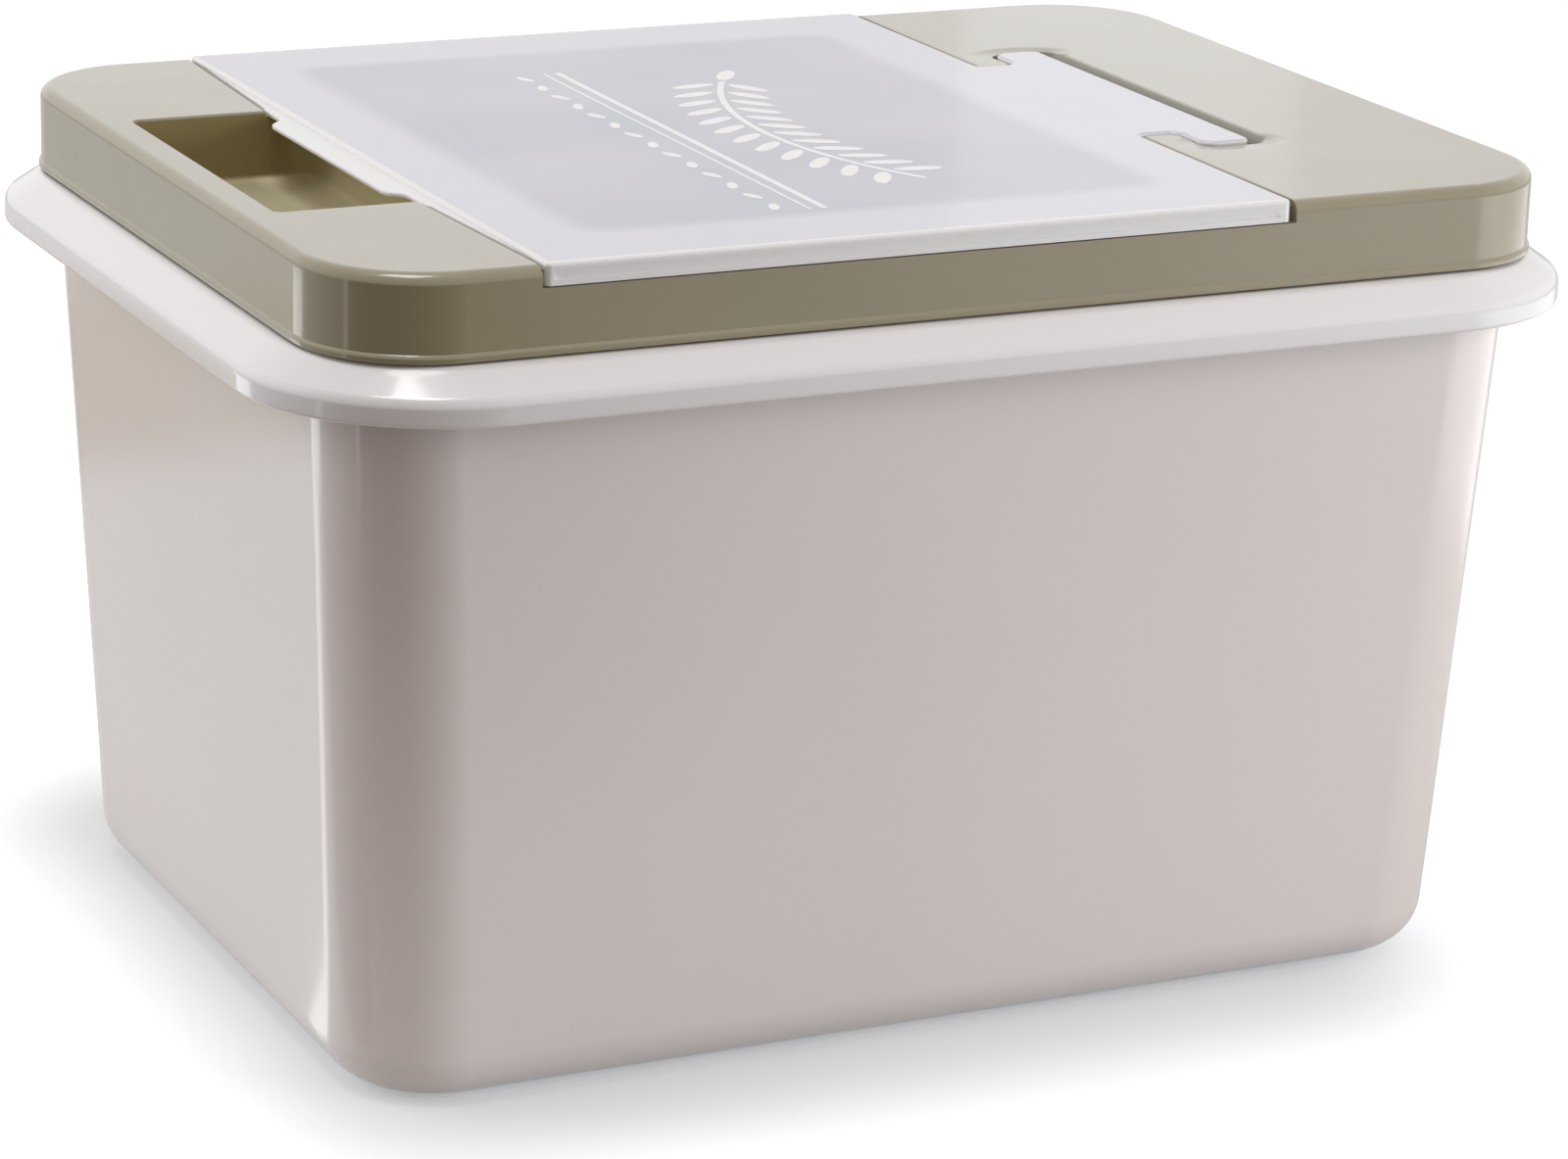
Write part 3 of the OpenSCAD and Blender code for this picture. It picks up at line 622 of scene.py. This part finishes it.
def rule_line(bm, x, y0, y1, width):
    verts = bmesh.ops.create_grid(bm, x_segments=1, y_segments=1, size=0.5)["verts"]
    bmesh.ops.scale(bm, vec=(width, y1 - y0, 1), verts=verts)
    bmesh.ops.translate(bm, vec=(x, (y0 + y1) / 2, INK_Z), verts=verts)
    raise_faces(bm, list(verts[0].link_faces), INK_T)


def on_ear(radius, degrees):
    angle = math.radians(degrees)
    return EAR_CENTRE[0] + radius * math.cos(angle), EAR_CENTRE[1] + radius * math.sin(angle)


# The stem is a short stroke, spun about the centre of the ear's bend.
print_bm = bmesh.new()
stroke_ends = [print_bm.verts.new((*on_ear(radius, EAR_START), INK_Z))
               for radius in (EAR_RADIUS, EAR_RADIUS + STEM_WIDTH)]
stroke = print_bm.edges.new(stroke_ends)
bmesh.ops.spin(print_bm, geom=[*stroke_ends, stroke], cent=(*EAR_CENTRE, INK_Z), axis=(0, 0, 1),
               angle=math.radians(EAR_TURN), steps=24)
raise_faces(print_bm, print_bm.faces[:], INK_T)
stem_middle = EAR_RADIUS + STEM_WIDTH / 2
for step in range(12):
    at = EAR_START + 3.6 + step * 4.8
    for side in (-1, 1):
        grain(print_bm, *on_ear(stem_middle + side * 7.4, at), *EAR_GRAIN, at + 90 - side * 55)
tip = EAR_START - 3.8
grain(print_bm, *on_ear(stem_middle, tip), *TIP_GRAIN, tip + 90)
rule_line(print_bm, -31, *RULE_ENDS, 1.8)
rule_line(print_bm, -35, *RULE_ENDS, 0.8)
for step in range(14):
    grain(print_bm, -42.5, -89 + step * 12, *LOOSE_GRAIN, 90 + (18 if step % 2 else -18))
ink = plastic(
    "white_ink",
    {"Colour": (0.86, 0.86, 0.87), "Patch Colour": (0.82, 0.82, 0.84), "Patch Size": 6.0,
     "Roughness": 0.42, "Roughness Change": 0.1, "Grain Size": 0.25},
    {"Strength": 0.04, "Turn": 1.9}, gloss_roughness=0.12)[0]
finish_piece(print_bm, "flap_print", "flap", [ink])


# Flap seal: a white silicone ring of rectangular section, pressed round the flap's rib. With the flap shut
# it closes on the rebate round the scoop opening.
SEAL_TOP_Z, SEAL_WIDTH, SEAL_REACH = 213.08, 4.75, 3.9
seal_bm = rib_loop(grown(OPENING_HALF, SEAL_REACH), OPENING_R + SEAL_REACH, REBATE_Z, SEAL_TOP_Z, SEAL_WIDTH,
                   OPENING_CENTRE)
soften(seal_bm, edges_where(seal_bm, lambda p: abs(p.z - REBATE_Z) < 0.01), 0.5, 3)
silicone = plastic(
    "silicone",
    {"Colour": (0.72, 0.72, 0.71), "Patch Colour": (0.68, 0.68, 0.67), "Patch Size": 25.0,
     "Roughness": 0.55, "Roughness Change": 0.12, "Grain Size": 0.35},
    {"Strength": 0.08, "Turn": 0.9}, gloss=0.15, gloss_roughness=0.4)[0]
finish_piece(seal_bm, "flap_seal_ring", "flap", [silicone], "flap_seal")


# Measuring cup: a thin tapered moulding with a rolled rim, level rings inside and a loop handle.
# It lies loose on the floor of the tub, at the hinge's end.
CUP_X, CUP_Z = 96, 3.6


def turned(profile, steps=72):
    """A closed solid of revolution about the cup's axis, from radii and heights."""
    bm = bmesh.new()
    verts = [bm.verts.new((CUP_X + r, 0, CUP_Z + z)) for r, z in profile]
    edges = [bm.edges.new(pair) for pair in zip(verts, verts[1:])]
    bmesh.ops.spin(bm, geom=verts + edges, cent=(CUP_X, 0, 0), axis=(0, 0, 1), angle=math.tau, steps=steps,
                   use_merge=True)
    bmesh.ops.remove_doubles(bm, verts=bm.verts, dist=0.001)
    bmesh.ops.holes_fill(bm, edges=[e for e in bm.edges if e.is_boundary])
    return bm


cup_blank = solid(turned([(0, 0.6), (21.5, 0.6), (22.3, 0), (24.6, 0), (25.6, 0.4), (26.1, 1.4), (30.5, 55.4),
                          (31, 56.2), (31, 57.6), (30.6, 58), (0, 58)]))
cup_handle = rib_loop((18, 20), 9, -4.5, 4.5, 5)
soften(cup_handle, edges_where(cup_handle, lambda p: True), 1.2, 3)
bmesh.ops.rotate(cup_handle, cent=(0, 0, 0), matrix=Matrix.Rotation(math.pi / 2, 3, "X"),
                 verts=cup_handle.verts)
bmesh.ops.translate(cup_handle, vec=(CUP_X - 35, 0, CUP_Z + 29), verts=cup_handle.verts)
combine(cup_blank, "UNION", cup_handle)
combine(cup_blank, "DIFFERENCE", turned([
    (0, 1.6), (22.8, 1.6), (24, 2), (24.6, 3.2), (25.9, 19), (25.6, 19.3), (25.7, 20), (26, 20.3), (27.4, 37),
    (27.1, 37.3), (27.2, 38), (27.5, 38.3), (29.1, 57.6), (29.5, 58), (29.5, 60), (0, 60)]))
cup_bm = tidy_mesh(cup_blank)
clear_frosted = plastic(
    "cup_polypropylene",
    {"Colour": (0.62, 0.64, 0.68), "Patch Colour": (0.66, 0.68, 0.71), "Patch Size": 30.0,
     "Roughness": 0.36, "Roughness Change": 0.1, "Grain Size": 0.3},
    {"Strength": 0.08, "Turn": 1.2}, gloss=0.6, gloss_roughness=0.15)[0]
finish_piece(cup_bm, "measuring_cup_moulding", "measuring_cup", [clear_frosted], "measuring_cup",
             recalc=False)


# Studio: a pale floor, with soft boxes at the left rear, near the right front, behind and overhead. The floor
# glows white to the camera away from the bin and keeps the shadow near it. White, grey and brown cards lie on
# it round the bin, seen only by gloss and bounced light, so that the gloss has edges to show.
stage_bm = bmesh.new()
bmesh.ops.create_grid(stage_bm, x_segments=8, y_segments=8, size=6)
floor_mesh = bpy.data.meshes.new("floor")
stage_bm.to_mesh(floor_mesh)
stage_bm.free()
floor = bpy.data.objects.new("floor", floor_mesh)
bpy.context.scene.collection.objects.link(floor)

FLOOR_COLOUR = (0.51, 0.505, 0.5)
NEAR_GLOW, FAR_GLOW, GLOSSY_GLOW = 0.36, 0.8, 0.29
SHADE_MIDDLE, SHADE_HALF, SHADE_FADE = (-0.016, 0, 0), (0.108, 0.1), (0.015, 0.09)
LEFT_CORNER, FOOT_CORNER, RIGHT_CORNER = (-0.168, -0.104), (-0.14, -0.094), (0.14, -0.11)
floor_material = bpy.data.materials.new("pale_floor")
floor_material.use_nodes = True
tree = floor_material.node_tree
shader = tree.nodes["Principled BSDF"]
shader.inputs["Roughness"].default_value = 0.7
shader.inputs["Specular IOR Level"].default_value = 0.2
ray = tree.nodes.new("ShaderNodeLightPath").outputs
place = object_place(tree)


def card(corner, start, end, near, far, blur=0.015):
    """Mask of a card that lies on the floor: the part between two directions from a corner, in degrees."""
    apart = vector_math(tree, "SUBTRACT", place, (*corner, 0))
    reach = vector_math(tree, "LENGTH", apart, output="Value")
    mask = step_mask(tree, reach, *near)
    if far:
        mask = calculate(tree, "MULTIPLY", mask, step_mask(tree, reach, far[1], far[0]))
    for direction, turn in ((start, 1), (end, -1)):
        angle = math.radians(direction)
        inward = (-math.sin(angle) * turn, math.cos(angle) * turn, 0)
        inside = vector_math(tree, "DOT_PRODUCT", apart, inward, output="Value")
        mask = calculate(tree, "MULTIPLY", mask,
                         step_mask(tree, calculate(tree, "DIVIDE", inside, reach), -blur, blur))
    return mask


unseen = calculate(tree, "SUBTRACT", 1.0, ray["Is Camera Ray"])
colour, glow_part = FLOOR_COLOUR, calculate(tree, "MULTIPLY", ray["Is Glossy Ray"], GLOSSY_GLOW)
for mask, card_colour, card_glow in (
        (card(RIGHT_CORNER, -80, -46, (0.42, 0.5), None, 0.12), (0.6, 0.61, 0.67), 0.36),
        (card(LEFT_CORNER, 90, 120, (0.5, 0.58), (0.7, 0.9), 0.1), (0.42, 0.34, 0.2), 0.05),
        (card(LEFT_CORNER, 262, 297, (0, 0.4), None, 0.2), (0.18, 0.145, 0.11), 0.035),
        (card(LEFT_CORNER, 170, 283, (0, 0.45), None, 0.2), (0.03, 0.012, 0.002), 0.0),
        (card(LEFT_CORNER, 131, 183, (0, 0.02), None), (0.36, 0.35, 0.385), 0.04),
        (card(LEFT_CORNER, 182.5, 186.5, (0.3, 0.45), None), (0.7, 0.68, 0.66), 1.0),
        (card(LEFT_CORNER, 112.2, 129.5, (0.42, 0.5), (0.85, 0.9)), (0.85, 0.86, 0.87), 1.5),
        (card(FOOT_CORNER, 117, 127, (0.03, 0.05), (0.5, 0.6)), (0.85, 0.86, 0.87), 1.2),
        (card(RIGHT_CORNER, -49, 30, (0.3, 0.4), (1.0, 1.2)), (0.85, 0.86, 0.9), 0.9)):
    mask = calculate(tree, "MULTIPLY", mask, unseen)
    colour = blend(tree, mask, colour, card_colour)
    more_glow = calculate(tree, "SUBTRACT", card_glow, glow_part)
    glow_part = calculate(tree, "MULTIPLY_ADD", mask, more_glow, glow_part)
tree.links.new(colour, shader.inputs["Base Color"])
distance = outside_box(tree, vector_math(tree, "SUBTRACT", place, SHADE_MIDDLE), SHADE_HALF)
seen_glow = calculate(tree, "MULTIPLY_ADD", step_mask(tree, distance, *SHADE_FADE), FAR_GLOW - NEAR_GLOW,
                      NEAR_GLOW)
straight_ray = calculate(tree, "MAXIMUM", ray["Is Camera Ray"], ray["Is Transmission Ray"])
glow_level = calculate(tree, "MULTIPLY_ADD", straight_ray, seen_glow,
                       calculate(tree, "MULTIPLY", glow_part, ray["Is Glossy Ray"]))
glow = place_node(tree, "ShaderNodeEmission", {"Color": (0.93, 0.96, 1.0, 1.0), "Strength": glow_level})
total = place_node(tree, "ShaderNodeAddShader", {0: shader.outputs[0], 1: glow.outputs[0]})
tree.links.new(total.outputs[0], tree.nodes["Material Output"].inputs["Surface"])
floor_mesh.materials.append(floor_material)

# The room lights the bin in a warm grey. Seen straight or in gloss, it is white.
ROOM_LIGHT = (0.385, 0.34, 0.305)
world = bpy.data.worlds.new("studio")
bpy.context.scene.world = world
world.use_nodes = True
tree = world.node_tree
ray = tree.nodes.new("ShaderNodeLightPath").outputs
shown = calculate(tree, "MAXIMUM", calculate(tree, "MAXIMUM", ray["Is Camera Ray"], ray["Is Glossy Ray"]),
                  ray["Is Transmission Ray"])
tree.links.new(blend(tree, shown, ROOM_LIGHT, (1.0, 1.0, 1.0)), tree.nodes["Background"].inputs["Color"])


def soft_box(name, place, aim, size, power, colour=(1, 1, 1), in_gloss=True):
    light = bpy.data.lights.new(name, "AREA")
    light.shape = "RECTANGLE"
    light.size, light.size_y = size
    light.energy = power
    light.color = colour
    lamp = bpy.data.objects.new(name, light)
    bpy.context.scene.collection.objects.link(lamp)
    lamp.location = place
    lamp.rotation_euler = (Vector(aim) - Vector(place)).to_track_quat("-Z", "Y").to_euler()
    lamp.visible_camera = False
    lamp.visible_glossy = in_gloss


soft_box("left_rear_box", (-1.35, 0.9, 0.74), (0, 0, 0.1), (1.2, 1.2), 14.0, (0.97, 0.99, 1), in_gloss=False)
soft_box("right_front_box", (0.85, -0.8, 0.38), (0, 0, 0.1), (0.75, 0.75), 7.4, (0.96, 0.985, 1),
         in_gloss=False)
soft_box("rear_box", (1.38, 2.23, 0.76), (0, 0, 0.2), (0.26, 0.34), 0.056, (0.88, 0.93, 1))
soft_box("overhead_box", (-0.3, -0.2, 1.4), (0, 0, 0.2), (0.5, 0.5), 5.1)

# Camera: from the left of the front, a little above the lid.
AZIMUTH, ELEVATION, ROLL = math.radians(-26.0703), math.radians(17.3493), math.radians(1.7326)
DISTANCE, AIM_HEIGHT, AIM_SIDE, AIM_UP = 1.40033, 0.09, 0.00612, -0.00072
back = Vector((math.sin(AZIMUTH) * math.cos(ELEVATION), -math.cos(AZIMUTH) * math.cos(ELEVATION),
               math.sin(ELEVATION)))
side = Vector((math.cos(AZIMUTH), math.sin(AZIMUTH), 0))
up = back.cross(side)
place = Vector((0, 0, AIM_HEIGHT)) + back * DISTANCE + side * AIM_SIDE + up * AIM_UP
turned_side = side * math.cos(ROLL) + up * math.sin(ROLL)
turned_up = up * math.cos(ROLL) - side * math.sin(ROLL)
lens = bpy.data.cameras.new("camera")
lens.sensor_width = 36
lens.lens = 119.664
camera = bpy.data.objects.new("camera", lens)
bpy.context.scene.collection.objects.link(camera)
camera.matrix_world = Matrix((
    (turned_side.x, turned_up.x, back.x, place.x),
    (turned_side.y, turned_up.y, back.y, place.y),
    (turned_side.z, turned_up.z, back.z, place.z),
    (0, 0, 0, 1)))
bpy.context.scene.camera = camera
bpy.context.scene.view_settings.view_transform = "Standard"
